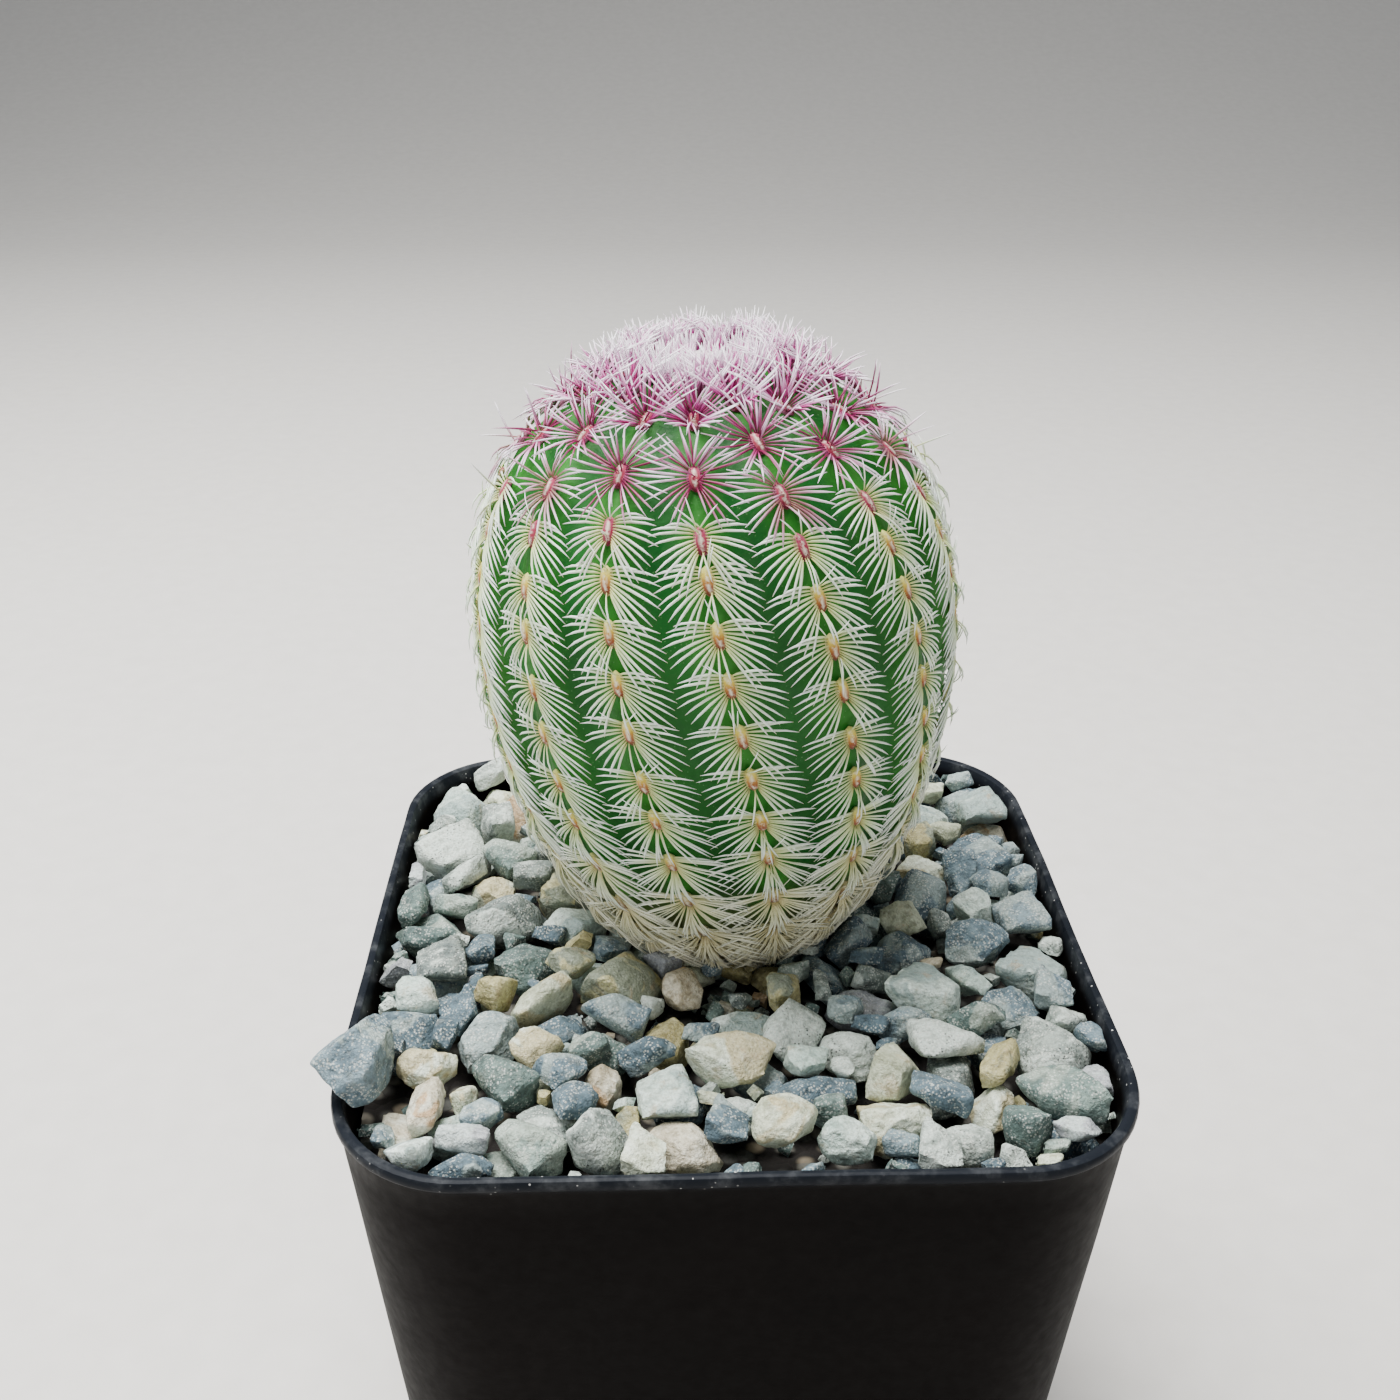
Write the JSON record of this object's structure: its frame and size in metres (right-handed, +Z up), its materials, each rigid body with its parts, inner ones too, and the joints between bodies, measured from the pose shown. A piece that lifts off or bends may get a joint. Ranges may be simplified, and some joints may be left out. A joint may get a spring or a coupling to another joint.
{
  "type": "potted round cactus",
  "caption": "Short ribbed barrel cactus with comb-like spines and a pink crown, in a tapered square nursery pot of soil topped with crushed gravel.",
  "frame": {"origin": "middle of the pot's flat underside, inside the ring-shaped drainage channel", "axes": "+Z up the pot, -Y towards the side with the widest bed of stones in front of the plant, X along that side"},
  "size_m": [0.0645, 0.0636, 0.1161],
  "materials": {
    "pot": "satin black, dusty at the rim",
    "soil": "dark peaty potting mix",
    "gravel_bed": "mixed small crushed stone",
    "stem": "deep green waxy skin",
    "spines": "pale green-white spines, cream felt",
    "crown": "young pink spines with white tips",
    "slate": "rough blue slate",
    "green_grey": "rough grey-green stone",
    "white": "pale quartz",
    "cream": "cream quartz",
    "peach": "peach-stained quartz",
    "ochre": "ochre quartz",
    "lilac": "lilac-grey stone",
    "speckled": "grey stone with dark specks"
  },
  "bodies": {
    "root": {"pot": "pot", "soil_mix": "soil", "gravel_bed": "gravel_bed", "cactus_stem": "stem", "crown_spines": "crown", "rib_spines_01": "spines", "rib_spines_02": "spines", "rib_spines_03": "spines", "rib_spines_04": "spines", "rib_spines_05": "spines", "rib_spines_06": "spines", "rib_spines_07": "spines", "rib_spines_08": "spines", "rib_spines_09": "spines", "rib_spines_10": "spines", "rib_spines_11": "spines", "rib_spines_12": "spines", "rib_spines_13": "spines", "rib_spines_14": "spines", "rib_spines_15": "spines", "stone_01": "slate", "stone_02": "slate", "stone_03": "green_grey", "stone_04": "ochre", "stone_05": "white", "stone_06": "green_grey", "stone_07": "slate", "stone_08": "cream", "stone_09": "peach", "stone_10": "speckled", "stone_11": "white", "stone_12": "green_grey", "stone_13": "peach", "stone_14": "slate", "stone_15": "speckled", "stone_16": "white", "stone_17": "peach", "stone_18": "ochre", "stone_19": "slate", "stone_20": "lilac", "stone_21": "speckled", "stone_22": "slate", "stone_23": "slate", "stone_24": "cream", "stone_25": "cream", "stone_26": "white", "stone_27": "cream", "stone_28": "speckled", "stone_29": "slate", "stone_30": "cream", "stone_31": "slate", "stone_32": "cream", "stone_33": "white", "stone_34": "slate", "stone_35": "white", "stone_36": "cream", "stone_37": "cream", "stone_38": "green_grey", "stone_39": "slate", "stone_40": "green_grey"}
  },
  "joints": []
}
